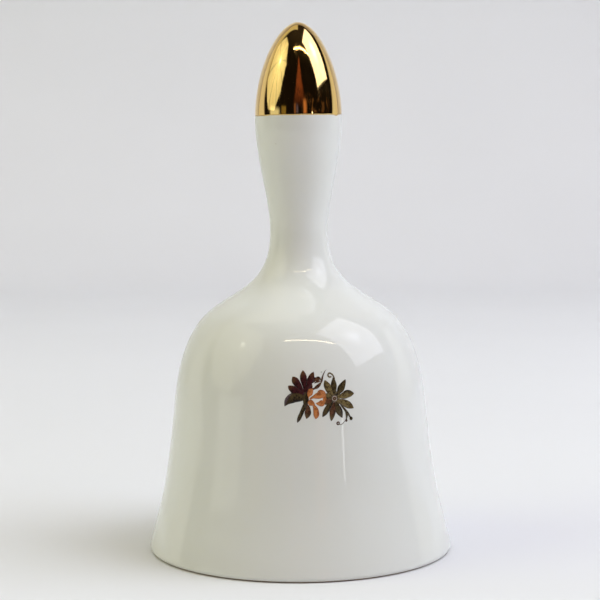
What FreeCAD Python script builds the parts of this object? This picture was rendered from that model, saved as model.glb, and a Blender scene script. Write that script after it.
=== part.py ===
import FreeCAD, Part

import math
import os

# Porcelain hand bell with a gilded tip. Millimetres, +Z up. The origin is the centre of the foot,
# the flat bottom of the rim that the bell stands on. The decorated front faces -Y.

# Outline of the glazed outside, from the foot up: the radius at each station, and how far it rises
# above the station below it.
lip_radius = 34.45
lip_round = 1.0
waist_radius = 28.44
waist_rise = 33.7
shoulder_radius = 22.46
shoulder_rise = 17.5
neck_radius = 6.51
neck_rise = 20.03
grip_radius = 9.78
grip_rise = 25.27
tip_rise = 21.61

# How far the wall leans in per millimetre of height, where it isn't upright.
lip_lean = 0.245
waist_lean = 0.104
shoulder_lean = 0.838

# Fullness of each curve at its lower and upper end: its tangents' lengths as parts of its own rise.
flare_fullness = (0.35, 0.65)
shoulder_fullness = (0.14, 0.425)
crown_fullness = (0.444, 0.678)
grip_fullness = (0.286, 0.332)
bullet_fullness = 0.54
tip_bluntness = 4.24

# Casting: wall, and the solid tip above the hollow of the handle.
wall = 2.8
tip_solid = 4.2
hollow_blunt_radius = 1.5

# Gold lustre on the tip: a skin let into the glaze, with its lower edge banded on at a slight slope.
gilt_length = 20.9
gilt_skin = 0.3
gilt_slope_deg = 0.9

# Cement plug in the neck, above and below the narrowest place.
plug_above_neck = 3.0
plug_below_neck = 8.0

# Brass wire of the hanger, the chain and the clapper's pin. The hanger's legs keep some cement
# between them and the bore of the neck.
wire_radius = 0.6
hang_gap = 0.05
leg_cover = 0.3
hanger_drop = 7.2
hanger_set = 8.0
link_bend_radius = 2.0
link_length = 8.0
link_count = 4

# Clapper: a bored ball on a headed pin.
bead_radius = 7.0
bead_flat_radius = 1.6
bead_drop = 0.8
bore_clearance = 0.05
head_radius = 1.5
head_thickness = 0.9

samples_per_curve = 6

V = FreeCAD.Vector
X_AXIS = V(1, 0, 0)
Y_AXIS = V(0, 1, 0)
Z_AXIS = V(0, 0, 1)
ORIGIN = V(0, 0, 0)
FULL_TURN = 360
HALF_TURN = 180
QUARTER_TURN = 90

# Heights that follow from the sizes above.
lip_angle = math.atan(lip_lean)
lip_height = lip_round * (1 + math.sin(lip_angle))
waist_height = lip_height + waist_rise
shoulder_height = waist_height + shoulder_rise
neck_height = shoulder_height + neck_rise
grip_height = neck_height + grip_rise
tip_height = grip_height + tip_rise
plug_bottom = neck_height - plug_below_neck
plug_top = neck_height + plug_above_neck
hanger_bend = plug_bottom - hanger_drop
hanger_bend_radius = neck_radius - wall - leg_cover - wire_radius
hang = 2 * wire_radius + hang_gap


def upward(lean):
    """Unit direction up a wall that leans in by lean per millimetre of height."""
    return V(-lean, 0, 1).normalize()


def outward_normal(tangent):
    """Normal of an outline that runs up, on its outer side."""
    return V(tangent.z, 0, -tangent.x).normalize()


def curve_between(low, low_lean, low_share, high, high_lean, high_share):
    """A cubic between two stations, with its end tangents as shares of the rise between them."""
    rise = high.z - low.z
    curve = Part.BezierCurve()
    curve.setPoles([
        low,
        low + upward(low_lean) * rise * low_share,
        high - upward(high_lean) * rise * high_share,
        high,
    ])
    return curve


def outline_curves():
    """The glazed outside from the top of the rounded lip to the apex, as five smooth curves."""
    lip = V(lip_radius, 0, lip_height)
    waist = V(waist_radius, 0, waist_height)
    shoulder = V(shoulder_radius, 0, shoulder_height)
    neck = V(neck_radius, 0, neck_height)
    grip = V(grip_radius, 0, grip_height)
    tip = V(0, 0, tip_height)
    bullet = Part.BezierCurve()
    bullet.setPoles([grip, grip + Z_AXIS * tip_rise * bullet_fullness, tip + X_AXIS * tip_bluntness, tip])
    return [
        curve_between(lip, lip_lean, flare_fullness[0], waist, waist_lean, flare_fullness[1]),
        curve_between(waist, waist_lean, shoulder_fullness[0], shoulder, shoulder_lean, shoulder_fullness[1]),
        curve_between(shoulder, shoulder_lean, crown_fullness[0], neck, 0, crown_fullness[1]),
        curve_between(neck, 0, grip_fullness[0], grip, 0, grip_fullness[1]),
        bullet,
    ]


def inset_points(curves, depth):
    """Points a given depth inside a run of curves, evenly spread along each and with both ends."""
    points = []
    for number, curve in enumerate(curves):
        first = 0 if number == 0 else 1
        for step in range(first, samples_per_curve + 1):
            place = step / samples_per_curve
            tangent = curve.tangent(place)[0]
            points.append(curve.value(place) - outward_normal(tangent) * depth)
    return points


def inside_curve():
    """The inside of the casting: one wall inside the glaze, closed by a blunt end below the tip."""
    points = inset_points(outline_curves(), wall)
    ceiling = V(0, 0, tip_height - tip_solid)
    followed = [p for p in points if p.x > hollow_blunt_radius and p.z < ceiling.z]
    curve = Part.BSplineCurve()
    curve.interpolate(
        Points=followed + [ceiling],
        InitialTangent=upward(lip_lean),
        FinalTangent=-X_AXIS,
    )
    return curve


def line(start, end):
    """A straight edge."""
    return Part.LineSegment(start, end).toShape()


def turned(edges):
    """The solid that a closed outline sweeps out about the bell's axis."""
    return Part.Face(Part.Wire(edges)).revolve(ORIGIN, Z_AXIS, FULL_TURN)


def slab(bottom, top):
    """A disc wider than the bell between two heights."""
    return Part.makeCylinder(2 * lip_radius, top - bottom, V(0, 0, bottom))


def make_casting():
    """Dome, neck and handle as cast: one hollow porcelain shell with a rounded lip and a flat foot."""
    inside = inside_curve()
    inner_start = inside.value(inside.FirstParameter)
    inner_round = inner_start.z / (1 - math.sin(lip_angle))
    outer_centre = V(lip_radius - lip_round * math.cos(lip_angle), 0, lip_round)
    inner_centre = V(inner_start.x + inner_round * math.cos(lip_angle), 0, inner_round)
    outer_foot = outer_centre - Z_AXIS * lip_round
    inner_foot = inner_centre - Z_AXIS * inner_round
    middle_angle = math.radians(45)
    outer_middle = outer_centre + V(math.cos(middle_angle), 0, -math.sin(middle_angle)) * lip_round
    inner_middle = inner_centre - V(math.cos(middle_angle), 0, math.sin(middle_angle)) * inner_round
    outer_top = V(lip_radius, 0, lip_height)
    edges = [
        line(inner_foot, outer_foot),
        Part.Arc(outer_foot, outer_middle, outer_top).toShape(),
    ]
    edges += [curve.toShape() for curve in outline_curves()]
    edges += [
        line(V(0, 0, tip_height), V(0, 0, tip_height - tip_solid)),
        inside.toShape(),
        Part.Arc(inner_start, inner_middle, inner_foot).toShape(),
    ]
    return turned(edges)


def make_gilt_tip():
    """The gold: a skin over the end of the handle, down to its sloping lower edge."""
    curves = outline_curves()[-2:]
    back = Part.BSplineCurve()
    back.interpolate(
        Points=inset_points(curves, gilt_skin),
        InitialTangent=Z_AXIS,
        FinalTangent=-X_AXIS,
    )
    start = curves[0].value(0)
    skin = turned([curve.toShape() for curve in curves] + [
        line(V(0, 0, tip_height), V(0, 0, tip_height - gilt_skin)),
        back.toShape(),
        line(back.value(back.FirstParameter), start),
    ])
    kept = slab(0, 2 * gilt_length)
    kept.rotate(ORIGIN, Y_AXIS, -gilt_slope_deg)
    kept.translate(V(0, 0, tip_height - gilt_length))
    return skin.common(kept)


def make_bell_body():
    """The casting, let in by the thickness of the gold where the tip is gilded."""
    return make_casting().cut(make_gilt_tip())


def make_neck_plug():
    """The cement that fills the neck, set around the legs of the hanger."""
    inside = inside_curve()
    start = inside.value(inside.FirstParameter)
    ceiling = V(0, 0, tip_height - tip_solid)
    hollow = turned([
        inside.toShape(),
        line(ceiling, V(0, 0, start.z)),
        line(V(0, 0, start.z), start),
    ])
    return hollow.common(slab(plug_bottom, plug_top)).cut(make_hanger_staple())


def straight_wire(start, end):
    """A straight run of wire."""
    return Part.makeCylinder(wire_radius, (end - start).Length, start, end - start)


def half_bend(centre, radius, turn_axis):
    """Half a turn of wire in the XZ plane: under its centre about +Y, over it about -Y."""
    section = Part.makeCircle(wire_radius, centre + X_AXIS * radius, Z_AXIS)
    return Part.Face(Part.Wire(section)).revolve(centre, turn_axis, HALF_TURN)


def joined(pieces):
    """One solid from pieces that meet."""
    return pieces[0].multiFuse(pieces[1:]).removeSplitter()


def make_hanger_staple():
    """A U of wire: its legs stand in the plug and its bend hangs below."""
    bend_centre = V(0, 0, hanger_bend + hanger_bend_radius)
    pieces = [half_bend(bend_centre, hanger_bend_radius, Y_AXIS)]
    for side in (-1, 1):
        foot = bend_centre + X_AXIS * side * hanger_bend_radius
        head = V(foot.x, 0, plug_bottom + hanger_set)
        pieces.append(straight_wire(foot, head))
    return joined(pieces)


def joint_height(number):
    """Height of the wire that a hanging piece rocks on: 0 is the hanger, then one for each link."""
    return hanger_bend - number * (link_length - hang)


def make_chain_link(number):
    """A long oval link, each one a quarter turn from the wire that it hangs on."""
    top = joint_height(number) + hang
    upper_centre = V(0, 0, top - link_bend_radius)
    lower_centre = V(0, 0, top - link_length + link_bend_radius)
    pieces = [
        half_bend(upper_centre, link_bend_radius, -Y_AXIS),
        half_bend(lower_centre, link_bend_radius, Y_AXIS),
    ]
    for side in (-1, 1):
        offset = X_AXIS * side * link_bend_radius
        pieces.append(straight_wire(lower_centre + offset, upper_centre + offset))
    link = joined(pieces)
    if number % 2 == 0:
        link.rotate(ORIGIN, Z_AXIS, QUARTER_TURN)
    return link


def eye_centre():
    """Centre of the clapper pin's eye, which hangs on the last link."""
    return V(0, 0, joint_height(link_count) + hang - link_bend_radius)


def bead_half_height():
    """Half the clapper's height between the flats around its bore."""
    return math.sqrt(bead_radius ** 2 - bead_flat_radius ** 2)


def bead_centre():
    """Centre of the clapper, just under the pin's eye."""
    eye_bottom = eye_centre().z - link_bend_radius - wire_radius
    return V(0, 0, eye_bottom - bead_drop - bead_half_height())


def make_clapper_pin():
    """A pin with an eye at the top and a flat head that carries the clapper."""
    head_top = bead_centre().z - bead_half_height() - hang_gap
    eye = Part.makeTorus(link_bend_radius, wire_radius, eye_centre(), X_AXIS)
    shank = straight_wire(V(0, 0, head_top), eye_centre() - Z_AXIS * link_bend_radius)
    head = Part.makeCylinder(head_radius, head_thickness, V(0, 0, head_top - head_thickness))
    if link_count % 2 == 1:
        eye.rotate(ORIGIN, Z_AXIS, QUARTER_TURN)
    return joined([eye, shank, head])


def make_clapper_bead():
    """The clapper: a porcelain ball with ground flats and a bore for its pin."""
    height = bead_half_height()
    ball = Part.makeSphere(bead_radius, bead_centre())
    ground = ball.common(slab(bead_centre().z - height, bead_centre().z + height))
    bore = Part.makeCylinder(wire_radius + bore_clearance, 2 * bead_radius, bead_centre() - Z_AXIS * bead_radius)
    return ground.cut(bore)


def main():
    nodes = {
        "bell_body": make_bell_body(),
        "gilt_tip": make_gilt_tip(),
        "neck_plug": make_neck_plug(),
        "hanger_staple": make_hanger_staple(),
        "clapper_pin": make_clapper_pin(),
        "clapper_bead": make_clapper_bead(),
    }
    for number in range(link_count):
        nodes[f"chain_link_{number + 1}"] = make_chain_link(number)
    os.makedirs("parts", exist_ok=True)
    for name, shape in nodes.items():
        shape.exportStep(f"parts/{name}.step")
        box = shape.BoundBox
        print(f"{name}: {len(shape.Solids)} solid, valid {shape.isValid()}, {shape.Volume:.1f} mm3, "
              f"z {box.ZMin:.2f} to {box.ZMax:.2f}, x {box.XMin:.2f} to {box.XMax:.2f}")
    print("joint heights", [round(joint_height(number), 3) for number in range(link_count + 1)])
    print("bead centre", round(bead_centre().z, 3))


main()
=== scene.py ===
import math

import bmesh
import bpy
from mathutils import Matrix, Vector


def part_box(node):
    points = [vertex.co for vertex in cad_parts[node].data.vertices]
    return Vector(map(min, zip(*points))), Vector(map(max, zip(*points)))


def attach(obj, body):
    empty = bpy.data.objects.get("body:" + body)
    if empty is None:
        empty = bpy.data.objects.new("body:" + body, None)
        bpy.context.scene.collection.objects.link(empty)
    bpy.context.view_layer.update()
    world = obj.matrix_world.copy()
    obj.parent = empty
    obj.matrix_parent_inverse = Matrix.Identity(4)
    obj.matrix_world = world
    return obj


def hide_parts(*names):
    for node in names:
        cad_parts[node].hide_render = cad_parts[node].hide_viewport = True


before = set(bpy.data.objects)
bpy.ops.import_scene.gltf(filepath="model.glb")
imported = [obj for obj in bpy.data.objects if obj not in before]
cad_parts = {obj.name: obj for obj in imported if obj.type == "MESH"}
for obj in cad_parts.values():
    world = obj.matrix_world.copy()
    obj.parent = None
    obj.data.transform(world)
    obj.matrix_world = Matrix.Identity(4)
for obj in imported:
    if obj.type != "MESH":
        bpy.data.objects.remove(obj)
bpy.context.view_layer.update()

mm = 0.001

# ---- The table, the lamps and the viewpoint ------------------------------------------------------
# A sheet of white paper that lies on the table and sweeps up behind the bell, lit by a softbox high
# on the right, a shoot-through umbrella on the left and a tube on the ceiling of a dim room.

scene = bpy.context.scene
scene.view_settings.view_transform = "Standard"


def colour(hex_code):
    """An sRGB hex colour as linear RGBA."""
    channels = [int(hex_code[place:place + 2], 16) / 255 for place in (1, 3, 5)]
    return [c / 12.92 if c <= 0.04045 else ((c + 0.055) / 1.055) ** 2.4 for c in channels] + [1.0]


def add(tree, kind, inputs=None, **settings):
    """One node with its settings; an input takes a value, a socket, or a node for its first output."""
    made = tree.nodes.new(kind)
    for name, value in settings.items():
        setattr(made, name, value)
    for name, value in (inputs or {}).items():
        if isinstance(value, bpy.types.Node):
            value = next(socket for socket in value.outputs if socket.enabled)
        if isinstance(value, bpy.types.NodeSocket):
            tree.links.new(value, made.inputs[name])
        else:
            made.inputs[name].default_value = value
    return made


def new_material(name):
    """An empty material and its tree."""
    material = bpy.data.materials.new(name)
    material.use_nodes = True
    material.node_tree.nodes.clear()
    return material, material.node_tree


def finish_material(tree, shader):
    """Joins a shader to the material's output."""
    add(tree, "ShaderNodeOutputMaterial", {"Surface": shader})


def mesh_piece(name, points, faces, materials=()):
    """A mesh object of its own, at the origin, smooth shaded."""
    mesh = bpy.data.meshes.new(name)
    mesh.from_pydata([tuple(p) for p in points], [], faces)
    mesh.polygons.foreach_set("use_smooth", [True] * len(mesh.polygons))
    for material in materials:
        mesh.materials.append(material)
    made = bpy.data.objects.new(name, mesh)
    scene.collection.objects.link(made)
    return made


# Matt white background paper: broad, even and only just toned, so the bell's foot casts the one shadow.
paper, tree = new_material("matt white background paper")
place = add(tree, "ShaderNodeTexCoord").outputs["Object"]
mottle = add(tree, "ShaderNodeTexNoise", {"Vector": place, "Scale": 9.0, "Detail": 3.0})
tint = add(tree, "ShaderNodeMix", {"Factor": mottle, "A": colour("#D5D6D8"), "B": colour("#DADBDD")},
           data_type="RGBA")
finish_material(tree, add(tree, "ShaderNodeBsdfPrincipled", {
    "Base Color": tint, "Roughness": 0.85, "Specular IOR Level": 0.2}))

paper_half_width = 1.0
paper_front = -0.62
paper_back = 0.78
sweep_radius = 0.18
paper_top = 1.7
sweep_steps = 24
paper_line = [(paper_front, 0.0), (paper_back - sweep_radius, 0.0)]
for step in range(1, sweep_steps + 1):
    turn = math.radians(90) * step / sweep_steps
    paper_line.append((paper_back - sweep_radius + sweep_radius * math.sin(turn),
                       sweep_radius * (1 - math.cos(turn))))
paper_line.append((paper_back, paper_top))
paper_points = [(x, y, z) for y, z in paper_line for x in (-paper_half_width, paper_half_width)]
paper_faces = [(2 * n, 2 * n + 1, 2 * n + 3, 2 * n + 2) for n in range(len(paper_line) - 1)]
mesh_piece("background_paper", paper_points, paper_faces, [paper])

# The room: pale where the camera looks past the paper, and an even soft fill for matt surfaces. What
# the glaze and the gold mirror is a dark brown room with pale paper behind, a window low on the left,
# a bright upright slit on the right, a warm streak in the middle and some clutter low down.
world = bpy.data.worlds.new("dim room")
scene.world = world
world.use_nodes = True
tree = world.node_tree
tree.nodes.clear()
towards = add(tree, "ShaderNodeTexCoord").outputs["Generated"]
split = add(tree, "ShaderNodeSeparateXYZ", {"Vector": towards}).outputs
ahead = add(tree, "ShaderNodeMath", {0: split["Y"], 1: -1.0}, operation="MULTIPLY")
heading = add(tree, "ShaderNodeMath", {0: split["X"], 1: ahead}, operation="ARCTAN2")
rise = split["Z"]


def band(source, first, full, last, none):
    """A soft window over a value: it opens from first to full and shuts from last to none."""
    opens = add(tree, "ShaderNodeMapRange", {"Value": source, "From Min": first, "From Max": full})
    shuts = add(tree, "ShaderNodeMapRange", {"Value": source, "From Min": last, "From Max": none,
                                             "To Min": 1.0, "To Max": 0.0})
    return add(tree, "ShaderNodeMath", {0: opens, 1: shuts}, operation="MULTIPLY")


def standing(turns, rises):
    """Where a thing stands in the room, as soft windows over its heading in degrees and its height."""
    sideways = band(heading, *[math.radians(turn) for turn in turns])
    upright = band(rise, *rises)
    return add(tree, "ShaderNodeMath", {0: sideways, 1: upright}, operation="MULTIPLY")


# The streak narrows as it climbs: its half width is a share of what is left to its top.
streak_heading = math.radians(3)
streak_top = 0.76
off_centre = add(tree, "ShaderNodeMath", {0: heading, 1: streak_heading}, operation="SUBTRACT")
off_side = add(tree, "ShaderNodeMath", {0: off_centre}, operation="ABSOLUTE")
to_top = add(tree, "ShaderNodeMath", {0: streak_top, 1: rise}, operation="SUBTRACT")
spread = add(tree, "ShaderNodeMath", {0: off_side, 1: to_top}, operation="DIVIDE")
grain = add(tree, "ShaderNodeTexNoise", {"Vector": towards, "Scale": 22.0, "Detail": 3.0})
mottled = add(tree, "ShaderNodeMapRange", {"Value": grain, "From Min": 0.3, "From Max": 0.6,
                                           "To Min": 0.35})
tapered = add(tree, "ShaderNodeMath", {0: band(spread, -2.0, -1.0, 0.34, 0.56),
                                       1: band(rise, 0.14, 0.45, 0.70, streak_top)}, operation="MULTIPLY")
streak = add(tree, "ShaderNodeMath", {0: tapered, 1: mottled}, operation="MULTIPLY")

lumps = add(tree, "ShaderNodeTexNoise", {"Vector": towards, "Scale": 11.0, "Detail": 2.0})
heaps = add(tree, "ShaderNodeMapRange", {"Value": lumps, "From Min": 0.50, "From Max": 0.62})
low_down = standing((4, 22, 80, 95), (0.02, 0.06, 0.20, 0.32))
clutter = add(tree, "ShaderNodeMath", {0: heaps, 1: low_down}, operation="MULTIPLY")
# The paper's sweep: a plane that leans back behind the bell.
lean = add(tree, "ShaderNodeMath", {0: rise, 1: -0.5, 2: split["Y"]}, operation="MULTIPLY_ADD")

# Laid over near black, one after another: the ceiling, the streak, the clutter, four upright things,
# a pale wall on the left and the paper.
seen = colour("#120D09")
for tint, where in (
        ("#2E2722", band(rise, 0.75, 0.98, 2.0, 3.0)),
        ("#8A4A30", streak),
        ("#5E4330", clutter),
        ("#7C6A38", standing((-47, -44, -34, -31), (0.0, 0.02, 0.14, 0.17))),
        ("#C07E54", standing((12, 15, 19, 24), (0.0, 0.04, 0.20, 0.25))),
        ("#7A5240", standing((-12, -10, -8, -6), (0.0, 0.04, 0.17, 0.20))),
        ("#565078", standing((-6, -5, -1, 1), (0.02, 0.06, 0.15, 0.18))),
        ("#C9C1A4", standing((-200, -190, -112, -103), (0.10, 0.2, 2.0, 3.0))),
        ("#DAD6CC", band(lean, 0.16, 0.24, 3.0, 4.0))):
    seen = add(tree, "ShaderNodeMix", {"Factor": where, "A": seen, "B": colour(tint)}, data_type="RGBA")
room = add(tree, "ShaderNodeBackground", {"Color": seen, "Strength": 1.0})

# The window and the slit are bright, so they are light of their own on top of the room.
window = standing((-82, -77, -56, -49), (-0.04, 0.0, 0.09, 0.14))
slit = standing((37.2, 37.6, 38.4, 38.8), (0.0, 0.008, 0.062, 0.07))
window_strength = 0.8
slit_strength = 4.0
window_light = add(tree, "ShaderNodeMath", {0: window, 1: window_strength}, operation="MULTIPLY")
slit_light = add(tree, "ShaderNodeMath", {0: slit, 1: slit_strength}, operation="MULTIPLY")
window_glow = add(tree, "ShaderNodeBackground", {"Color": colour("#F3F4E4"), "Strength": window_light})
slit_glow = add(tree, "ShaderNodeBackground", {"Color": colour("#FFFFFF"), "Strength": slit_light})
openings = add(tree, "ShaderNodeAddShader", {0: window_glow, 1: slit_glow})
all_round = add(tree, "ShaderNodeAddShader", {0: room, 1: openings})

pale = add(tree, "ShaderNodeBackground", {"Color": colour("#DFDFE0"), "Strength": 1.0})
fill = add(tree, "ShaderNodeBackground", {"Color": colour("#FFE9E8"), "Strength": 0.39})
path = add(tree, "ShaderNodeLightPath").outputs
mirrored = add(tree, "ShaderNodeMixShader", {0: path["Is Glossy Ray"], 1: fill, 2: all_round})
mixed = add(tree, "ShaderNodeMixShader", {0: path["Is Camera Ray"], 1: mirrored, 2: pale})
add(tree, "ShaderNodeOutputWorld", {"Surface": mixed})

aim = Vector((0, 0, 50 * mm))


def direction(turn, climb):
    """Unit vector from the bell: turn is from the front towards +X, climb above the table, in degrees."""
    a, e = math.radians(turn), math.radians(climb)
    return Vector((math.sin(a) * math.cos(e), -math.cos(a) * math.cos(e), math.sin(e)))


def lamp(name, away, size, power, tint, shape="RECTANGLE", size_y=None):
    """An area lamp that faces the bell from a place given by a vector from it."""
    data = bpy.data.lights.new(name, "AREA")
    data.shape = shape
    data.size = size
    if size_y:
        data.size_y = size_y
    data.energy = power
    data.color = colour(tint)[:3]
    made = bpy.data.objects.new(name, data)
    scene.collection.objects.link(made)
    made.location = aim + away
    made.rotation_euler = away.to_track_quat("Z", "Y").to_euler()
    made.visible_camera = False
    return made


# The light that falls on the bell and the paper. The glaze and the gold mirror only the tube: the
# cloth of the softbox and the umbrella, as they mirror it, follows with its pattern.
softbox = lamp("softbox", direction(78, 47.5) * 0.80, size=0.58, size_y=0.70, power=5.9, tint="#ECF4FF")
softbox.visible_glossy = False
umbrella = lamp("umbrella", direction(-80, 34) * 0.90, size=0.80, power=3.2, tint="#E8F3C0", shape="DISK")
umbrella.visible_glossy = False
tube_ahead, tube_above = 0.93, 1.45
tube = lamp("ceiling_tube", Vector((0.305, -tube_ahead, tube_above)), size=1.37, size_y=0.045, power=2.3,
            tint="#FFE9C4")
tube.rotation_euler = (math.atan2(tube_ahead, tube_above), 0, 0)
wash_tilt = math.radians(31)
wash = lamp("paper_wash", Vector((0, 0.30, 0.80)), size=1.6, size_y=0.10, power=2.9, tint="#E6F0FF")
wash.rotation_euler = (wash_tilt, 0, 0)
wash.visible_glossy = False


def front(name, away, wide, high, tint):
    """The lit cloth of a lamp as the glaze and the gold mirror it, and the nodes for its pattern."""
    made = lamp(name, away, size=wide, size_y=high, power=wide * high * math.pi, tint=tint)
    made.visible_diffuse = False
    made.data.use_nodes = True
    pattern = made.data.node_tree
    pattern.nodes.clear()
    place = add(pattern, "ShaderNodeNewGeometry").outputs["Parametric"]
    spot = add(pattern, "ShaderNodeSeparateXYZ", {"Vector": place})
    return pattern, spot.outputs["X"], spot.outputs["Y"]


def shine(pattern, strength):
    """Ends a lamp's nodes with light of a strength."""
    light = add(pattern, "ShaderNodeEmission", {"Strength": strength})
    add(pattern, "ShaderNodeOutputLight", {"Surface": light})


def distance_from(pattern, x, y, centre):
    """Offsets from a place on the cloth, sideways and up, and their squared distance."""
    across = add(pattern, "ShaderNodeMath", {0: x, 1: centre[0]}, operation="SUBTRACT")
    up = add(pattern, "ShaderNodeMath", {0: y, 1: centre[1]}, operation="SUBTRACT")
    across_square = add(pattern, "ShaderNodeMath", {0: across, 1: 2.0}, operation="POWER")
    up_square = add(pattern, "ShaderNodeMath", {0: up, 1: 2.0}, operation="POWER")
    return across, up, add(pattern, "ShaderNodeMath", {0: across_square, 1: up_square}, operation="ADD")


def glow_from(pattern, x, y, centre, spread, least, most):
    """Light that falls off, as a bell curve, from a hot spot in the cloth."""
    square = distance_from(pattern, x, y, centre)[2]
    fall = add(pattern, "ShaderNodeMath", {0: square, 1: -1 / spread ** 2}, operation="MULTIPLY")
    curve = add(pattern, "ShaderNodeMath", {0: fall}, operation="EXPONENT")
    return add(pattern, "ShaderNodeMath", {0: curve, 1: most - least, 2: least}, operation="MULTIPLY_ADD")


# The softbox's cloth is brightest over its lamp.
pattern, x, y = front("softbox_front", direction(78, 47.5) * 0.79, wide=0.58, high=0.70, tint="#F4F4FF")
shine(pattern, glow_from(pattern, x, y, (0.47, 0.50), spread=0.15, least=2.1, most=4.4))

# The umbrella's canopy: eight flat-sided panels between dark ribs that meet at a hot hub.
panel_turn = math.pi / 4
hub_place = (0.57, 0.60)
pattern, x, y = front("umbrella_canopy", direction(-77, 33) * 0.88, wide=0.90, high=0.90, tint="#FBF8DC")
across, up, square = distance_from(pattern, x, y, (0.5, 0.5))
bearing = add(pattern, "ShaderNodeMath", {0: up, 1: across}, operation="ARCTAN2")
in_panel = add(pattern, "ShaderNodeMath", {0: bearing, 1: panel_turn / 2, 2: -panel_turn / 2},
               operation="WRAP")
cosine = add(pattern, "ShaderNodeMath", {0: in_panel}, operation="COSINE")
away = add(pattern, "ShaderNodeMath", {0: square}, operation="SQRT")
flat_reach = add(pattern, "ShaderNodeMath", {0: away, 1: cosine}, operation="MULTIPLY")
inside_edge = add(pattern, "ShaderNodeMapRange", {"Value": flat_reach, "From Min": 0.455, "From Max": 0.465,
                                                  "To Min": 1.0, "To Max": 0.0})
hub_across, hub_up, _ = distance_from(pattern, x, y, hub_place)
hub_bearing = add(pattern, "ShaderNodeMath", {0: hub_up, 1: hub_across}, operation="ARCTAN2")
rib_turn = add(pattern, "ShaderNodeMath", {0: hub_bearing, 1: panel_turn, 2: 0.0}, operation="WRAP")
rib_off = add(pattern, "ShaderNodeMath", {0: rib_turn, 1: panel_turn / 2}, operation="SUBTRACT")
rib_side = add(pattern, "ShaderNodeMath", {0: rib_off}, operation="ABSOLUTE")
off_ribs = add(pattern, "ShaderNodeMapRange", {"Value": rib_side, "From Min": 0.02, "From Max": 0.07,
                                               "To Min": 0.62})
cloth_glow = glow_from(pattern, x, y, hub_place, spread=0.26, least=0.85, most=1.5)
hub_glow = glow_from(pattern, x, y, hub_place, spread=0.035, least=0.0, most=3.5)
both_glows = add(pattern, "ShaderNodeMath", {0: cloth_glow, 1: hub_glow}, operation="ADD")
ribbed = add(pattern, "ShaderNodeMath", {0: both_glows, 1: off_ribs}, operation="MULTIPLY")
shine(pattern, add(pattern, "ShaderNodeMath", {0: ribbed, 1: inside_edge}, operation="MULTIPLY"))

# Viewpoint: 108 mm lens on a 36 mm wide frame, 0.41 m in front of the bell, looking slightly down.
camera_data = bpy.data.cameras.new("viewpoint")
camera_data.lens = 108.24
camera_data.sensor_width = 36
camera_data.clip_start = 0.01
camera = bpy.data.objects.new("viewpoint", camera_data)
scene.collection.objects.link(camera)
camera_place = (0.14 * mm, -408 * mm, 98.9 * mm)
camera_tilt = math.radians(90 - 5.89)
camera_roll = math.radians(-0.32)
camera.matrix_world = (Matrix.Translation(camera_place) @ Matrix.Rotation(camera_tilt, 4, "X")
                       @ Matrix.Rotation(camera_roll, 4, "Z"))
scene.camera = camera

# ---- The casting: dome, neck and handle ----------------------------------------------------------
# Slip-cast hard porcelain, hollow right up the handle and open at the mouth, dipped in clear glaze
# and fired standing on its wiped foot. One piece, with a rounded lip.

lip_radius = 34.45 * mm
lip_round = 1.0 * mm
lip_lean, waist_lean, shoulder_lean = 0.245, 0.104, 0.838
lip_angle = math.atan(lip_lean)
wall = 2.8 * mm
tip_solid = 4.2 * mm
bell_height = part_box("gilt_tip")[1].z

# Each station is its radius, its rise above the one below and the wall's lean there; each curve
# between two stations has its fullness at the lower and the upper end.
stations = [
    (lip_radius, lip_round * (1 + math.sin(lip_angle)), lip_lean),
    (28.44 * mm, 33.7 * mm, waist_lean),
    (22.46 * mm, 17.5 * mm, shoulder_lean),
    (6.51 * mm, 20.03 * mm, 0),
    (9.78 * mm, 25.27 * mm, 0),
]
fullness = [(0.35, 0.65), (0.14, 0.425), (0.444, 0.678), (0.286, 0.332)]
bullet_fullness = 0.54
tip_bluntness = 4.24 * mm


def cubic(poles, steps):
    """Points and tangents along a cubic, its end left out."""
    made = []
    for step in range(steps):
        t = step / steps
        s = 1 - t
        at = poles[0] * s ** 3 + poles[1] * 3 * s * s * t + poles[2] * 3 * s * t * t + poles[3] * t ** 3
        along = (poles[1] - poles[0]) * s * s + (poles[2] - poles[1]) * 2 * s * t
        along += (poles[3] - poles[2]) * t * t
        made.append((at, along.normalized()))
    return made


def glazed_outline(steps):
    """The outside from the lip to the apex, as (point, tangent) pairs in the XZ plane."""
    corners = []
    height = 0
    for radius, rise, lean in stations:
        height += rise
        corners.append((Vector((radius, 0, height)), Vector((-lean, 0, 1)).normalized(), rise))
    line = []
    for (low, low_way, _), (high, high_way, rise), (first, last) in zip(corners, corners[1:], fullness):
        line += cubic([low, low + low_way * rise * first, high - high_way * rise * last, high], steps)
    grip = corners[-1][0]
    tip = Vector((0, 0, bell_height))
    rise = tip.z - grip.z
    over_grip = grip + Vector((0, 0, rise * bullet_fullness))
    beside_tip = tip + Vector((tip_bluntness, 0, 0))
    line += cubic([grip, over_grip, beside_tip, tip], steps)
    return line + [(tip, Vector((-1, 0, 0)))]


def outward(tangent):
    """Normal of an outline that runs up, on its outer side."""
    return Vector((tangent.z, 0, -tangent.x))


def arc(centre, radius, first, last, steps):
    """Points of an arc in the XZ plane, from one angle to another, its end left out."""
    turns = [math.radians(first + (last - first) * step / steps) for step in range(steps)]
    return [centre + Vector((math.cos(turn), 0, math.sin(turn))) * radius for turn in turns]


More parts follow.
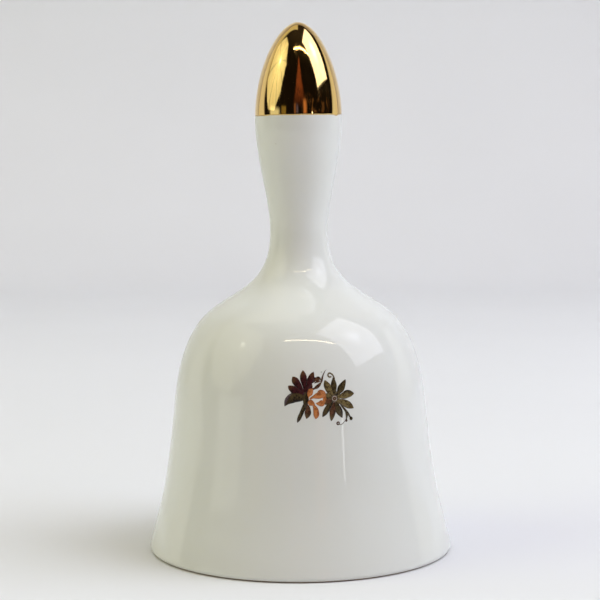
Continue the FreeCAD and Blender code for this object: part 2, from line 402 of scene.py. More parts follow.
def turning_tree():
    """Nodes that turn an outline, a line of points in the XZ plane, into a closed round solid."""
    made = bpy.data.node_groups.new("turned from an outline", "GeometryNodeTree")
    face = made.interface
    face.new_socket("Outline", in_out="INPUT", socket_type="NodeSocketGeometry")
    face.new_socket("Turn Steps", in_out="INPUT", socket_type="NodeSocketInt")
    face.new_socket("Finish", in_out="INPUT", socket_type="NodeSocketMaterial")
    face.new_socket("Solid", in_out="OUTPUT", socket_type="NodeSocketGeometry")
    given = add(made, "NodeGroupInput").outputs
    size = add(made, "GeometryNodeAttributeDomainSize", {"Geometry": given["Outline"]})
    count = size.outputs["Point Count"]
    row = add(made, "ShaderNodeMath", {0: given["Turn Steps"], 1: 1.0}, operation="ADD")
    sheet = add(made, "GeometryNodeMeshGrid", {"Vertices X": count, "Vertices Y": row})
    index = add(made, "GeometryNodeInputIndex")
    over = add(made, "ShaderNodeMath", {0: index, 1: row}, operation="DIVIDE")
    station = add(made, "ShaderNodeMath", {0: over}, operation="FLOOR")
    step = add(made, "ShaderNodeMath", {0: index, 1: row}, operation="MODULO")
    share = add(made, "ShaderNodeMath", {0: step, 1: given["Turn Steps"]}, operation="DIVIDE")
    turn = add(made, "ShaderNodeMath", {0: share, 1: math.tau}, operation="MULTIPLY")
    here = add(made, "GeometryNodeInputPosition")
    taken = add(made, "GeometryNodeSampleIndex",
                {"Geometry": given["Outline"], "Value": here, "Index": station},
                data_type="FLOAT_VECTOR", domain="POINT")
    swung = add(made, "ShaderNodeVectorRotate", {"Vector": taken, "Angle": turn}, rotation_type="Z_AXIS")
    moved = add(made, "GeometryNodeSetPosition", {"Geometry": sheet, "Position": swung})
    closed = add(made, "GeometryNodeMergeByDistance", {"Geometry": moved, "Distance": 0.0001 * mm})
    smooth = add(made, "GeometryNodeSetShadeSmooth", {"Geometry": closed})
    real = add(made, "GeometryNodeRealizeInstances", {"Geometry": smooth})
    dressed = add(made, "GeometryNodeSetMaterial", {"Geometry": real, "Material": given["Finish"]})
    add(made, "NodeGroupOutput", {"Solid": dressed})
    return made


def grown(name, source, tree, values):
    """The plain mesh object that a node tree makes of a source object's data."""
    modifier = source.modifiers.new("growing", "NODES")
    modifier.node_group = tree
    for item in tree.interface.items_tree:
        if item.in_out == "INPUT" and item.name in values:
            modifier[item.identifier] = values[item.name]
    bpy.context.view_layer.update()
    graph = bpy.context.evaluated_depsgraph_get()
    mesh = bpy.data.meshes.new_from_object(source.evaluated_get(graph), depsgraph=graph)
    mesh.name = name
    bpy.data.objects.remove(source)
    made = bpy.data.objects.new(name, mesh)
    scene.collection.objects.link(made)
    return made


def facing_out(piece):
    """Turns a closed mesh's faces outwards."""
    work = bmesh.new()
    work.from_mesh(piece.data)
    bmesh.ops.recalc_face_normals(work, faces=work.faces)
    work.to_mesh(piece.data)
    work.free()
    return piece


turning = turning_tree()


def turned(name, outline, steps, material):
    """A closed round solid from its outline."""
    edges = [(n, n + 1) for n in range(len(outline) - 1)]
    mesh = bpy.data.meshes.new(name + "_outline")
    mesh.from_pydata([tuple(p) for p in outline], edges, [])
    source = bpy.data.objects.new(name + "_outline", mesh)
    scene.collection.objects.link(source)
    return facing_out(grown(name, source, turning, {"Turn Steps": steps, "Finish": material}))


# Clear glaze on hard porcelain: a wet, glassy gloss over cool white, with the faint waviness and the
# few iron specks of a dipped and fired coat.
def glaze_material(name, white, shade):
    """Glazed porcelain between two whites."""
    material, tree = new_material(name)
    place = add(tree, "ShaderNodeTexCoord").outputs["Object"]
    pooling = add(tree, "ShaderNodeTexNoise", {"Vector": place, "Scale": 1 / (24 * mm), "Detail": 2.0})
    body = add(tree, "ShaderNodeMix", {"Factor": pooling, "A": colour(white), "B": colour(shade)},
               data_type="RGBA")
    cells = add(tree, "ShaderNodeTexVoronoi", {"Vector": place, "Scale": 1 / (5 * mm)})
    lot = add(tree, "ShaderNodeSeparateColor", {"Color": cells.outputs["Color"]})
    drawn_lot = add(tree, "ShaderNodeMath", {0: lot.outputs["Red"], 1: 0.94}, operation="GREATER_THAN")
    core = add(tree, "ShaderNodeMath", {0: cells, 1: 0.035}, operation="LESS_THAN")
    speck = add(tree, "ShaderNodeMath", {0: drawn_lot, 1: core}, operation="MULTIPLY")
    faint = add(tree, "ShaderNodeMath", {0: speck, 1: 0.45}, operation="MULTIPLY")
    skin = add(tree, "ShaderNodeMix", {"Factor": faint, "A": body, "B": colour("#8A7A63")},
               data_type="RGBA")
    haze = add(tree, "ShaderNodeTexNoise", {"Vector": place, "Scale": 1 / (9 * mm), "Detail": 4.0})
    gloss = add(tree, "ShaderNodeMapRange", {"Value": haze, "From Min": 0.3, "From Max": 0.7,
                                             "To Min": 0.02, "To Max": 0.05})
    wave = add(tree, "ShaderNodeTexNoise", {"Vector": place, "Scale": 1 / (8 * mm), "Detail": 1.0})
    waved = add(tree, "ShaderNodeBump", {"Height": wave, "Strength": 1.0, "Distance": 0.006 * mm})
    peel = add(tree, "ShaderNodeTexNoise", {"Vector": place, "Scale": 1 / (1.1 * mm), "Detail": 1.0})
    coat = add(tree, "ShaderNodeBump", {"Height": peel, "Strength": 1.0, "Distance": 0.0003 * mm,
                                        "Normal": waved})
    finish_material(tree, add(tree, "ShaderNodeBsdfPrincipled", {
        "Base Color": skin, "Roughness": gloss, "IOR": 1.56,
        "Subsurface Weight": 0.12, "Subsurface Radius": (1.0, 0.9, 0.75), "Subsurface Scale": 1.2 * mm,
        "Normal": coat}))
    return material


glaze = glaze_material("clear glaze on hard porcelain", "#D9DBD8", "#D3D6D0")

# Wiped biscuit: bare fired porcelain on the foot, dry and matt, painted brown as the contact shadow where
# the lip stands on the paper.
biscuit_and_painted_shadow, tree = new_material("bare biscuit foot with painted contact shadow")
place = add(tree, "ShaderNodeTexCoord").outputs["Object"]
# The mottled browns are painted contact shadow laid over the bare foot.
stain_and_painted_shadow = add(tree, "ShaderNodeTexNoise", {"Vector": place, "Scale": 1 / (3 * mm), "Detail": 5.0})
tone = add(tree, "ShaderNodeValToRGB", {"Fac": stain_and_painted_shadow})
tone.color_ramp.elements[0].position = 0.35
tone.color_ramp.elements[0].color = colour("#5E3E20")
tone.color_ramp.elements[1].position = 0.72
tone.color_ramp.elements[1].color = colour("#9A7A52")
grit = add(tree, "ShaderNodeTexNoise", {"Vector": place, "Scale": 1 / (0.25 * mm), "Detail": 2.0})
rough = add(tree, "ShaderNodeBump", {"Height": grit, "Strength": 0.6, "Distance": 0.03 * mm})
finish_material(tree, add(tree, "ShaderNodeBsdfPrincipled", {
    "Base Color": tone, "Roughness": 0.8, "Normal": rough}))

# The hollow follows the outside at the wall's thickness and is rounded off under the solid tip.
outside_steps = 40
inside_steps = 20
narrowest_bore = 1.5 * mm
ceiling_rise = 0.8 * mm
ceiling_flat = 0.9 * mm
casting_turns = 224
# Height of the bare foot band, which carries the painted brown contact shadow.
bare_and_shadow_height = 0.30 * mm

outside = glazed_outline(outside_steps)
inside = []
for point, tangent in glazed_outline(inside_steps):
    inner = point - outward(tangent) * wall
    if inner.x > narrowest_bore and inner.z < bell_height - tip_solid:
        inside.append(inner)
ceiling = Vector((0, 0, bell_height - tip_solid))
ceiling_poles = [inside[-1], inside[-1] + (inside[-1] - inside[-2]).normalized() * ceiling_rise,
                 ceiling + Vector((ceiling_flat, 0, 0)), ceiling]
lip_centre = Vector((lip_radius - lip_round * math.cos(lip_angle), 0, lip_round))
inner_round = inside[0].z / (1 - math.sin(lip_angle))
inner_centre = Vector((inside[0].x + inner_round * math.cos(lip_angle), 0, inner_round))
lean_degrees = math.degrees(lip_angle)
casting_outline = [ceiling] + [point for point, _ in cubic(ceiling_poles, 8)][:0:-1] + inside[::-1]
casting_outline += arc(inner_centre, inner_round, 180 + lean_degrees, 270, 10)[1:]
casting_outline += arc(lip_centre, lip_round, 270, 360 + lean_degrees, 14)
casting_outline += [point for point, _ in outside]
casting = turned("porcelain_casting", casting_outline, casting_turns, glaze)
casting.data.materials.append(biscuit_and_painted_shadow)
# The lowest faces take the bare biscuit and its painted contact shadow.
for polygon in casting.data.polygons:
    if polygon.center.z < bare_and_shadow_height:
        polygon.material_index = len(casting.data.materials) - 1
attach(casting, "bell")
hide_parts("bell_body")

# ---- The gilded tip ------------------------------------------------------------------------------
# Liquid bright gold brushed over the fired glaze from the banded edge up to the point, then fired
# again: a mirror film with no thickness to speak of. Its hand-banded edge is a little out of level
# and sagged at one spot on the right.

gold_film = 0.02 * mm
gold_back = 0.10 * mm
gold_slope = math.radians(0.9)
gold_edge = bell_height - 20.9 * mm
gold_turns = 200
gold_rows = 72
gold_crowding = 1.6
gold_sunk = 0.002 * mm
gold_back_tip = 1.0 * mm
edge_waver = 0.06 * mm
sag_depth = 0.28 * mm
sag_width = math.radians(9)
sag_turn = math.radians(330)


def outline_at(height):
    """Radius and outward normal of the glazed outside at a height."""
    for (low, low_way), (high, high_way) in zip(outside, outside[1:]):
        if low.z <= height <= high.z:
            share = (height - low.z) / (high.z - low.z)
            return low.x + (high.x - low.x) * share, outward(low_way.lerp(high_way, share).normalized())
    return outside[-1][0].x, Vector((0, 0, 1))


def around(radius_vector, turn):
    """A vector in the XZ plane, swung about the bell's axis."""
    return Matrix.Rotation(turn, 3, "Z") @ radius_vector


def gold_edge_at(turn):
    """Height of the gold's edge: a level band, sloped, wavering and sagging at one place."""
    sloped = gold_edge + outline_at(gold_edge)[0] * math.cos(turn) * math.tan(gold_slope)
    waver = math.sin(3 * turn + 0.7) * 0.5 + math.sin(8 * turn) * 0.3 + math.sin(17 * turn + 2) * 0.2
    sag = math.exp(-((turn - sag_turn) / sag_width) ** 2)
    return sloped + edge_waver * waver - sag_depth * sag


# The film's outside runs up row by row; its thin back lies in the glaze and closes it.
gold_points = []
gold_reach = []
for row in range(gold_rows):
    rise = 1 - (1 - row / gold_rows) ** gold_crowding
    for step in range(gold_turns):
        turn = math.tau * step / gold_turns
        edge = gold_edge_at(turn)
        height = edge + (bell_height - edge) * rise
        radius, way = outline_at(height)
        lift = gold_film * min(1, row / 2) - gold_sunk
        gold_points.append(around(Vector((radius, 0, height)) + way * lift, turn))
        gold_reach.append((height - edge) / mm)
gold_points.append(Vector((0, 0, bell_height)))
gold_reach.append((bell_height - gold_edge) / mm)
front_count = len(gold_points)
for step in range(gold_turns):
    turn = math.tau * step / gold_turns
    gold_points.append(gold_points[step] - around(Vector((gold_back, 0, 0)), turn))
    gold_reach.append(0.0)
gold_points.append(Vector((0, 0, bell_height - gold_back_tip)))
gold_reach.append(0.0)
gold_faces = []
for row in range(gold_rows - 1):
    for step in range(gold_turns):
        after = (step + 1) % gold_turns
        low, high = row * gold_turns, (row + 1) * gold_turns
        gold_faces.append((low + step, low + after, high + after, high + step))
last = (gold_rows - 1) * gold_turns
for step in range(gold_turns):
    after = (step + 1) % gold_turns
    gold_faces.append((last + step, last + after, front_count - 1))
    gold_faces.append((after, step, front_count + step, front_count + after))
    gold_faces.append((front_count + after, front_count + step, front_count + gold_turns))

# Bright gold lustre: a warm yellow mirror with lengthwise brush streaks, and a thin, brownish rim
# where the film runs out.
lustre, tree = new_material("fired liquid bright gold")
place = add(tree, "ShaderNodeTexCoord").outputs["Object"]
reach = add(tree, "ShaderNodeAttribute", attribute_name="from_edge").outputs["Fac"]
streak_size = (1 / (0.7 * mm), 1 / (0.7 * mm), 1 / (14 * mm))
long_ways = add(tree, "ShaderNodeMapping", {"Vector": place, "Scale": streak_size})
streak = add(tree, "ShaderNodeTexNoise", {"Vector": long_ways, "Scale": 1.0, "Detail": 4.0,
                                          "Roughness": 0.6})
gold = add(tree, "ShaderNodeMix", {"Factor": streak, "A": colour("#FFE29D"), "B": colour("#F2CB7E")},
           data_type="RGBA")
thin = add(tree, "ShaderNodeMapRange", {"Value": reach, "From Min": 0.05, "From Max": 0.45,
                                        "To Min": 1.0, "To Max": 0.0})
rimmed = add(tree, "ShaderNodeMix", {"Factor": thin, "A": gold, "B": colour("#7C5A3C")}, data_type="RGBA")
gloss = add(tree, "ShaderNodeMapRange", {"Value": streak, "From Min": 0.3, "From Max": 0.7,
                                         "To Min": 0.035, "To Max": 0.11})
ripple = add(tree, "ShaderNodeBump", {"Height": streak, "Strength": 1.0, "Distance": 0.004 * mm})
swell = add(tree, "ShaderNodeTexNoise", {"Vector": place, "Scale": 1 / (4 * mm), "Detail": 1.0})
swelled = add(tree, "ShaderNodeBump", {"Height": swell, "Strength": 1.0, "Distance": 0.02 * mm,
                                       "Normal": ripple})
finish_material(tree, add(tree, "ShaderNodeBsdfPrincipled", {
    "Base Color": rimmed, "Metallic": 1.0, "Roughness": gloss, "Normal": swelled}))

gilding = mesh_piece("gold_lustre_film", gold_points, gold_faces, [lustre])
layer = gilding.data.attributes.new("from_edge", "FLOAT", "POINT")
layer.data.foreach_set("value", gold_reach)
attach(gilding, "bell")
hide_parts("gilt_tip")

# ---- The floral spray ----------------------------------------------------------------------------
# A small overglaze transfer on the front: two open flowers, leaves and tendrils in brown, olive and
# maroon enamels. It was slid on wet and fired, so it follows the dome and stands a hair proud.

# Its middle stands eight degrees to the right of the front.
spray_turn = math.radians(-82)
spray_height = 38.4 * mm
spray_radius = outline_at(spray_height)[0]
# Patches lie at one of six levels, so that two that overlap don't lie in one plane.
enamel_lift = 0.03 * mm
enamel_step = 0.012 * mm
enamel_levels = 6
edge_share = 0.45


def on_dome(across, up, lift):
    """A point of the spray, in millimetres to the right and up, laid on the glaze."""
    height = spray_height + up * mm
    radius, way = outline_at(height)
    return around(Vector((radius, 0, height)) + way * lift, spray_turn + across * mm / spray_radius)


spray = {"points": [], "faces": [], "tones": [], "side": [], "along": [], "layer": 0}


def lay_patch(rows, tone):
    """Adds a patch of enamel: rows of (across, up, side, along), closed underneath in the glaze."""
    start = len(spray["points"])
    lift = enamel_lift + enamel_step * (spray["layer"] % enamel_levels)
    spray["layer"] += 1
    deep, wide = len(rows), len(rows[0])
    for level_of in (lift, -enamel_lift):
        for row in rows:
            for across, up, side, along in row:
                rounded = level_of * (edge_share if level_of > 0 and abs(side) == 1 else 1)
                spray["points"].append(on_dome(across, up, rounded))
                spray["side"].append(side)
                spray["along"].append(along)
    under = deep * wide
    faces = []
    for r in range(deep - 1):
        for c in range(wide - 1):
            low = start + r * wide + c
            faces.append((low, low + 1, low + wide + 1, low + wide))
            faces.append((low + under + wide, low + under + wide + 1, low + under + 1, low + under))
    edge = [start + c for c in range(wide)] + [start + r * wide + wide - 1 for r in range(1, deep)]
    edge += [start + (deep - 1) * wide + c for c in range(wide - 2, -1, -1)]
    edge += [start + r * wide for r in range(deep - 2, 0, -1)]
    for first, second in zip(edge, edge[1:] + edge[:1]):
        faces.append((second, first, first + under, second + under))
    spray["faces"] += faces
    spray["tones"] += [tone] * len(faces)


# A leaf's half width and the least that it narrows to, as shares of its width, and the brush's waver.
plumpness = 0.56
thinnest = 0.06
hand_waver = 0.05


def leaf(base, bend, tip, width, tone, widest=0.55, blunt=0.0, full=0.7, steps=18, ribs=8):
    """A petal or leaf painted along a bent line, with its broadest place part of the way along."""
    rows = []
    base, bend, tip = Vector(base), Vector(bend), Vector(tip)
    for step in range(steps + 1):
        t = step / steps
        at = base * (1 - t) ** 2 + bend * 2 * t * (1 - t) + tip * t * t
        way = ((bend - base) * (1 - t) + (tip - bend) * t).normalized()
        side = Vector((-way.y, way.x))
        swell = math.sin(math.pi * t ** (math.log(0.5) / math.log(widest)))
        rounded = swell ** full if 0 < swell else 0
        half = plumpness * width * max(rounded, blunt * (1 - t ** 12), thinnest)
        half *= 1 + hand_waver * math.sin(11 * t + spray["layer"] * 1.7)
        row = []
        for rib in range(ribs + 1):
            s = 2 * rib / ribs - 1
            there = at + side * half * s
            row.append((there.x, there.y, s, t))
        rows.append(row)
    lay_patch(rows, tone)


def petal(centre, tip, width, tone, start=0.75, curl=0.0, widest=0.55):
    """A petal of an open flower: it starts a little way out from the centre, already broad."""
    centre, tip = Vector(centre), Vector(tip)
    way = (tip - centre).normalized()
    side = Vector((-way.y, way.x))
    leaf(centre + way * start, (centre + tip) / 2 + side * curl, tip, width, tone, widest, blunt=0.4)


def stroke(path, width, tone, last=None):
    """A tendril: a line whose width runs from one size to another, its ends rounded off."""
    last = last or width
    rows = []
    path = [Vector(at) for at in path]
    end = len(path) - 1
    for n, (x, y) in enumerate(path):
        way = (path[min(n + 1, end)] - path[max(n - 1, 0)]).normalized()
        share = n / end
        half = (width + (last - width) * share) / 2 * (0.4 if n in (0, end) else 1)
        rows.append([(x - way.y * half * s, y + way.x * half * s, s, share) for s in (-1, -0.5, 0, 0.5, 1)])
    lay_patch(rows, tone)


def ring_path(centre, radius, first, last, steps=20):
    """Points of a small round curl."""
    turns = [math.radians(first + (last - first) * n / steps) for n in range(steps + 1)]
    return [(centre[0] + radius * math.cos(t), centre[1] + radius * math.sin(t)) for t in turns]


def blob(centre, radius, tone):
    """A round dab."""
    x, y = centre
    leaf((x - radius, y), (x, y), (x + radius, y), 2 * radius, tone, widest=0.5, full=0.5, steps=10,
         ribs=6)


MAROON, OLIVE, DARK, BROWN, OCHRE, PALE, PLUM = range(7)

# The open daisy on the right: ten broad petals on a mottled disc, and a pale ring with a dark eye.
daisy = (3.58, 0.0)
stroke(ring_path(daisy, 0.85, 0, 360, 28), 1.5, OLIVE)
for tip, width, tone, curl in (
        ((1.35, 0.95), 1.25, OLIVE, 0.0), ((1.25, -1.05), 1.25, BROWN, 0.0),
        ((1.60, 3.92), 1.45, OLIVE, 0.25), ((3.57, 4.45), 1.15, DARK, 0.0),
        ((6.36, 3.86), 1.3, DARK, -0.15), ((8.10, 0.83), 1.3, OLIVE, 0.25),
        ((7.80, -2.26), 1.45, OLIVE, 0.25), ((5.12, -4.15), 1.3, DARK, -0.15),
        ((2.68, -4.72), 1.2, BROWN, 0.0), ((0.84, -3.80), 1.15, DARK, -0.2)):
    petal(daisy, tip, width, tone, curl=curl)
leaf((5.6, 1.15), (6.6, 1.75), (8.05, 0.9), 0.5, DARK, widest=0.5)
stroke(ring_path(daisy, 0.62, 0, 360), 0.26, DARK)
stroke(ring_path(daisy, 0.50, 0, 360), 0.24, PALE)
stroke(ring_path(daisy, 0.20, 0, 360, 12), 0.32, BROWN)

# The half-turned maroon flower on the left, on a dark olive stem with two leaves.
leaf((-2.7, 0.15), (-5.9, 1.25), (-7.15, -1.42), 1.95, DARK, widest=0.42)
leaf((-5.5, 1.15), (-6.95, 0.6), (-7.1, -1.40), 0.6, PLUM, widest=0.6)
leaf((-2.65, 1.5), (-2.6, 0.2), (-2.75, -1.9), 1.15, DARK, widest=0.5, blunt=0.5)
leaf((-2.75, -1.0), (-3.35, -2.4), (-4.5, -4.9), 0.8, DARK, widest=0.5, blunt=0.95)
leaf((-2.3, -1.0), (-2.0, -2.6), (-2.58, -4.1), 1.2, BROWN, widest=0.55)
heart = (-2.7, 1.0)
petal(heart, (-6.45, 2.83), 1.55, MAROON, start=0.2, curl=0.45, widest=0.58)
petal(heart, (-5.5, 4.75), 1.45, MAROON, start=0.2, curl=0.1, widest=0.68)
petal(heart, (-3.2, 6.05), 1.3, MAROON, start=0.2, curl=0.15, widest=0.68)
petal(heart, (-0.80, 5.70), 1.25, MAROON, start=0.2, curl=0.25, widest=0.66)
petal(heart, (-1.45, 3.5), 1.7, MAROON, start=0.0, curl=0.0, widest=0.5)
leaf((-1.9, 3.0), (-1.2, 4.6), (0.35, 4.0), 0.95, MAROON, widest=0.45, blunt=0.5)
leaf((-0.9, 3.55), (0.1, 5.0), (0.85, 3.9), 0.65, BROWN, widest=0.5, blunt=0.5)
leaf((-0.7, 3.3), (0.0, 3.9), (0.75, 3.7), 0.4, BROWN, widest=0.5)
leaf((-1.1, 2.1), (0.2, 2.6), (0.8, 3.55), 0.65, BROWN, widest=0.5, blunt=0.6)
stroke([(0.75, 3.3), (0.95, 3.9), (1.15, 4.6), (1.38, 5.15), (1.72, 5.7), (2.1, 6.12)], 0.5, BROWN,
       last=0.07)
blob((0.92, 5.62), 0.09, DARK)
for low, high in (((-2.75, 1.9), (-3.3, 3.3)), ((-2.2, 2.2), (-1.75, 3.6)), ((-2.9, 1.8), (-4.2, 2.9))):
    stroke([low, ((low[0] + high[0]) / 2, (low[1] + high[1]) / 2), high], 0.10, PLUM)

# The ochre leaves that join the two.
leaf((-2.35, 0.1), (-2.2, 1.3), (-1.05, 2.15), 1.25, OCHRE, widest=0.6, blunt=0.45)
leaf((-1.75, 0.1), (-0.3, 0.9), (1.75, 0.85), 1.25, OCHRE, widest=0.66, blunt=0.3)
leaf((-0.2, 1.2), (0.7, 1.95), (1.7, 1.0), 0.8, OCHRE, widest=0.5)
leaf((1.3, 1.2), (1.55, 0.2), (1.25, -1.2), 0.75, OCHRE, widest=0.5, blunt=0.6)
leaf((-0.55, -0.80), (0.5, -1.25), (1.6, -0.45), 1.15, OCHRE, widest=0.6)
leaf((-2.3, -0.7), (-1.6, -0.5), (-0.75, -1.35), 1.15, OCHRE, widest=0.45, blunt=0.4)
leaf((-1.15, -0.9), (-0.1, -2.6), (-0.66, -4.2), 1.15, OCHRE, widest=0.58)
stroke([(0.1, 1.75), (0.45, 1.25), (0.85, 0.65)], 0.13, DARK)
stroke([(-1.75, 0.25), (-1.0, 0.75), (-0.35, 1.2)], 0.12, BROWN)
stroke([(-1.2, -1.45), (-1.0, -2.1), (-0.95, -2.6)], 0.14, BROWN)

# Curled tendril over the daisy, and the forked sprig under it.
tendril = [(3.8, 3.6), (3.82, 4.25), (3.62, 4.75), (3.3, 5.2)] + ring_path((2.83, 4.95), 0.42, 20, 320)
stroke(tendril, 0.30, OLIVE)
stroke([(4.7, -1.1), (5.25, -1.8), (5.8, -2.5), (6.4, -3.3), (7.0, -4.25)], 0.34, DARK, last=0.62)
blob((7.1, -4.4), 0.36, DARK)
stroke([(5.75, -2.4), (6.05, -3.1), (6.15, -3.8), (6.02, -4.7)], 0.38, DARK, last=0.46)
blob((6.0, -4.78), 0.27, BROWN)
stroke([(5.85, -4.8), (5.45, -5.1), (5.1, -5.45), (4.75, -5.62), (4.5, -5.5)], 0.13, BROWN)
stroke(ring_path((4.17, -5.28), 0.27, 0, 360, 14), 0.3, BROWN)


# Fired enamel print: dark outlines and a shaded half round a broken, grainy tone, browner towards the
# tip, and glossy like the glaze that it sank into. The grain is drawn coarser than a real one.
def enamel_material(name, light, dark, far):
    """Enamel in a light and a dark tone, and the one that it turns to at the tip."""
    material, tree = new_material(name)
    place = add(tree, "ShaderNodeTexCoord").outputs["Object"]
    side = add(tree, "ShaderNodeAttribute", attribute_name="side").outputs["Fac"]
    along = add(tree, "ShaderNodeAttribute", attribute_name="along").outputs["Fac"]
    off_middle = add(tree, "ShaderNodeMath", {0: side}, operation="ABSOLUTE")
    outline = add(tree, "ShaderNodeMapRange", {"Value": off_middle, "From Min": 0.55, "From Max": 0.95,
                                               "To Max": 0.75})
    grains = add(tree, "ShaderNodeTexNoise", {"Vector": place, "Scale": 1 / (0.55 * mm), "Detail": 4.0,
                                              "Roughness": 0.75})
    leaned = add(tree, "ShaderNodeMath", {0: side, 1: 0.12, 2: grains}, operation="MULTIPLY_ADD")
    broken = add(tree, "ShaderNodeMapRange", {"Value": leaned, "From Min": 0.44, "From Max": 0.60})
    depth = add(tree, "ShaderNodeMath", {0: outline, 1: broken}, operation="MAXIMUM")
    ink = add(tree, "ShaderNodeMix", {"Factor": depth, "A": colour(light), "B": colour(dark)},
              data_type="RGBA")
    reach = add(tree, "ShaderNodeMath", {0: grains, 1: 0.9, 2: along}, operation="MULTIPLY_ADD")
    browned = add(tree, "ShaderNodeMapRange", {"Value": reach, "From Min": 1.15, "From Max": 1.35,
                                               "To Max": 0.7})
    print_tone = add(tree, "ShaderNodeMix", {"Factor": browned, "A": ink, "B": colour(far)},
                     data_type="RGBA")
    finish_material(tree, add(tree, "ShaderNodeBsdfPrincipled", {
        "Base Color": print_tone, "Roughness": 0.16, "IOR": 1.5}))
    return material


enamels = [
    enamel_material("maroon enamel", "#3C1B1E", "#1F0D10", "#5A3E28"),
    enamel_material("olive enamel", "#70623F", "#382C1A", "#4E4028"),
    enamel_material("dark olive enamel", "#4A3F28", "#1C160E", "#40352A"),
    enamel_material("brown enamel", "#5A3C2A", "#301E14", "#5C5036"),
    enamel_material("ochre enamel", "#B87544", "#824A26", "#A56A40"),
    enamel_material("pale enamel", "#A3968C", "#7A6C60", "#908478"),
    enamel_material("plum grey enamel", "#655A5A", "#3E3236", "#504446"),
]
floral = mesh_piece("floral_spray", spray["points"], spray["faces"], enamels)
floral.data.polygons.foreach_set("material_index", spray["tones"])
for label in ("side", "along"):
    layer = floral.data.attributes.new(label, "FLOAT", "POINT")
    layer.data.foreach_set("value", spray[label])
facing_out(floral)
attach(floral, "bell")

# ---- The cement plug -----------------------------------------------------------------------------
# Plaster cement poured into the neck from below, with the hanger standing in it. It set with a
# slightly hollow, pitted face that shows when the bell is turned over.

plug_low, plug_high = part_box("neck_plug")
inside_bore = [p for p in inside if plug_low.z < p.z < plug_high.z]


def bore_at(height):
    """Radius of the casting's hollow at a height."""
    for low, high in zip(inside, inside[1:]):
        if low.z <= height <= high.z:
            return low.x + (high.x - low.x) * (height - low.z) / (high.z - low.z)
    return 0.0


dish = 0.5 * mm
dish_steps = 10
plug_outline = []
for n in range(dish_steps + 1):
    share = n / dish_steps
    plug_outline.append(Vector((bore_at(plug_low.z) * share, 0, plug_low.z + dish * (1 - share ** 2))))
plug_outline += [p.copy() for p in inside_bore]
plug_outline += [Vector((bore_at(plug_high.z), 0, plug_high.z)), Vector((0, 0, plug_high.z))]

# Set plaster cement: dead matt off-white, gritty and pitted.
cement, tree = new_material("set plaster cement")
place = add(tree, "ShaderNodeTexCoord").outputs["Object"]
lumps = add(tree, "ShaderNodeTexNoise", {"Vector": place, "Scale": 1 / (1.5 * mm), "Detail": 5.0,
                                         "Roughness": 0.65})
pits = add(tree, "ShaderNodeTexVoronoi", {"Vector": place, "Scale": 1 / (0.9 * mm)})
pitted = add(tree, "ShaderNodeMapRange", {"Value": pits, "From Min": 0.1, "From Max": 0.3})
tone = add(tree, "ShaderNodeMix", {"Factor": lumps, "A": colour("#B9B2A2"), "B": colour("#DAD5C8")},
           data_type="RGBA")
height = add(tree, "ShaderNodeMath", {0: lumps, 1: pitted}, operation="ADD")
rough = add(tree, "ShaderNodeBump", {"Height": height, "Strength": 1.0, "Distance": 0.12 * mm})
finish_material(tree, add(tree, "ShaderNodeBsdfPrincipled", {
    "Base Color": tone, "Roughness": 0.95, "Normal": rough}))

plug = turned("cement_plug", plug_outline, 96, cement)
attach(plug, "bell")
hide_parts("neck_plug")

# ---- Hanger, chain and pin -----------------------------------------------------------------------
# All of one brass wire. The hanger is a U with both legs in the cement, the four links are long
# ovals butted on one side, and the pin has a bent eye and a peened head that carries the clapper.

# Drawn brass wire: yellow, half-bright, with fine lines along it and a little brown tarnish.
brass, tree = new_material("drawn brass wire")
place = add(tree, "ShaderNodeTexCoord").outputs["Object"]
line_size = (1 / (0.12 * mm), 1 / (0.12 * mm), 1 / (3 * mm))
drawn = add(tree, "ShaderNodeMapping", {"Vector": place, "Scale": line_size})
lines = add(tree, "ShaderNodeTexNoise", {"Vector": drawn, "Scale": 1.0, "Detail": 2.0})
patches = add(tree, "ShaderNodeTexNoise", {"Vector": place, "Scale": 1 / (2 * mm), "Detail": 4.0})
dull = add(tree, "ShaderNodeMapRange", {"Value": patches, "From Min": 0.45, "From Max": 0.75})
yellow = add(tree, "ShaderNodeMix", {"Factor": dull, "A": colour("#E3C069"), "B": colour("#9A7238")},
             data_type="RGBA")
gloss = add(tree, "ShaderNodeMapRange", {"Value": patches, "To Min": 0.18, "To Max": 0.5})
scored = add(tree, "ShaderNodeBump", {"Height": lines, "Strength": 0.5, "Distance": 0.01 * mm})
finish_material(tree, add(tree, "ShaderNodeBsdfPrincipled", {
    "Base Color": yellow, "Metallic": 1.0, "Roughness": gloss, "Normal": scored}))


def wire_tree():
    """Nodes that give a bent line the round section of a wire, with closed ends."""
    made = bpy.data.node_groups.new("wire along a line", "GeometryNodeTree")
    face = made.interface
    face.new_socket("Line", in_out="INPUT", socket_type="NodeSocketGeometry")
    face.new_socket("Wire Radius", in_out="INPUT", socket_type="NodeSocketFloat")
    face.new_socket("Finish", in_out="INPUT", socket_type="NodeSocketMaterial")
    face.new_socket("Wire", in_out="OUTPUT", socket_type="NodeSocketGeometry")
    given = add(made, "NodeGroupInput").outputs
    section = add(made, "GeometryNodeCurvePrimitiveCircle",
                  {"Resolution": 20, "Radius": given["Wire Radius"]})
    line = add(made, "GeometryNodeMeshToCurve", {"Mesh": given["Line"]})
    swept = add(made, "GeometryNodeCurveToMesh", {"Curve": line, "Profile Curve": section,
                                                  "Fill Caps": True})
    smooth = add(made, "GeometryNodeSetShadeSmooth", {"Geometry": swept})
    real = add(made, "GeometryNodeRealizeInstances", {"Geometry": smooth})
    dressed = add(made, "GeometryNodeSetMaterial", {"Geometry": real, "Material": given["Finish"]})
    add(made, "NodeGroupOutput", {"Wire": dressed})
    return made


wiring = wire_tree()
link_low, link_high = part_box("chain_link_1")
wire_radius = (link_high.x - link_low.x) / 2


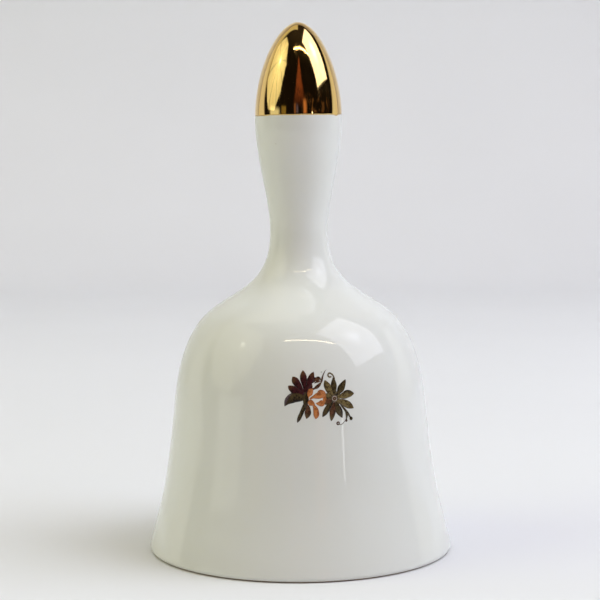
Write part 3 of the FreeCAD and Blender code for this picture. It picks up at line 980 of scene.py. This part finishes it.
def wire_piece(name, line):
    """A piece of brass wire bent along a line of points."""
    mesh = bpy.data.meshes.new(name + "_line")
    mesh.from_pydata([tuple(p) for p in line], [(n, n + 1) for n in range(len(line) - 1)], [])
    source = bpy.data.objects.new(name + "_line", mesh)
    scene.collection.objects.link(source)
    return facing_out(grown(name, source, wiring, {"Wire Radius": wire_radius, "Finish": brass}))


hanger_low, hanger_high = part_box("hanger_staple")
hanger_bend = (hanger_high.x - hanger_low.x) / 2 - wire_radius
hanger_centre = Vector((0, 0, hanger_low.z + wire_radius + hanger_bend))
hanger_line = [Vector((-hanger_bend, 0, hanger_high.z))]
hanger_line += arc(hanger_centre, hanger_bend, 180, 360, 24)
hanger_line += [hanger_centre + Vector((hanger_bend, 0, 0)), Vector((hanger_bend, 0, hanger_high.z))]
hanger = wire_piece("wire_hanger", hanger_line)
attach(hanger, "bell")
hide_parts("hanger_staple")

butt_gap = 0.05 * mm
for number in (1, 2, 3, 4):
    low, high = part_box(f"chain_link_{number}")
    bend = max(high.x - low.x, high.y - low.y) / 2 - wire_radius
    upper = Vector((0, 0, high.z - wire_radius - bend))
    lower = Vector((0, 0, low.z + wire_radius + bend))
    middle = (upper.z + lower.z) / 2
    link_line = [Vector((bend, 0, middle + butt_gap))]
    link_line += arc(upper, bend, 0, 180, 16) + [upper - Vector((bend, 0, 0))]
    link_line += arc(lower, bend, 180, 360, 16) + [lower + Vector((bend, 0, 0))]
    link_line += [Vector((bend, 0, middle - butt_gap))]
    quarter = math.radians(90 if high.y - low.y > high.x - low.x else 0)
    link = wire_piece(f"oval_link_{number}", [around(p, quarter) for p in link_line])
    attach(link, f"link_{number}")
    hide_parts(f"chain_link_{number}")

pin_low, pin_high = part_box("clapper_pin")
eye_bend = (pin_high.y - pin_low.y) / 2 - wire_radius
eye = Vector((0, 0, pin_high.z - wire_radius - eye_bend))
head_thickness = 0.9 * mm
head_radius = 1.5 * mm
neck_start = eye.z - eye_bend - 0.9 * mm
neck_end = eye.z - eye_bend - 0.4 * mm
pin_line = [Vector((0, 0, z)) for z in (pin_low.z + head_thickness * 0.5, neck_start, neck_end)]
pin_line += arc(eye, eye_bend, -84, 250, 36)
pin = wire_piece("eyed_pin", [around(p, math.radians(90)) for p in pin_line])
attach(pin, "pin")
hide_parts("clapper_pin")

# The head is hammered: flat above, a rounded edge, and domed below.
head_top = pin_low.z + head_thickness
head_round = 0.3 * mm
head_dome = 0.35 * mm
dome_steps = 8
head_outline = [Vector((0, 0, head_top)), Vector((head_radius * 0.9, 0, head_top))]
head_outline += arc(Vector((head_radius * 0.75, 0, head_top - head_round)), head_round, 60, -40, 6)
for n in range(1, dome_steps + 1):
    share = 1 - n / dome_steps
    head_outline.append(Vector((head_radius * share * 0.9, 0, pin_low.z + head_dome * share ** 2)))
head = turned("peened_head", head_outline, 48, brass)
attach(head, "pin")

# ---- The clapper ---------------------------------------------------------------------------------
# A ball of the same porcelain, pressed and bored, ground flat round the bore at both ends and glazed.

bead_low, bead_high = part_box("clapper_bead")
bead_radius = (bead_high.x - bead_low.x) / 2
bead_centre = Vector((0, 0, (bead_low.z + bead_high.z) / 2))
flat_angle = math.degrees(math.asin((bead_high.z - bead_low.z) / 2 / bead_radius))
bore = wire_radius + 0.05 * mm
mouth = bore + 0.25 * mm
mouth_depth = 0.3 * mm
bead_outline = [Vector((bore, 0, bead_high.z - mouth_depth)), Vector((mouth, 0, bead_high.z))]
bead_outline += arc(bead_centre, bead_radius, flat_angle, -flat_angle, 48)
bead_outline += [Vector((mouth, 0, bead_low.z)), Vector((bore, 0, bead_low.z + mouth_depth))]
bead_outline += [bead_outline[0].copy()]
bead_glaze = glaze_material("clear glaze on the clapper", "#E6E5DF", "#DFDDD2")
bead = turned("porcelain_clapper", bead_outline, 96, bead_glaze)
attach(bead, "clapper")
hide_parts("clapper_bead")
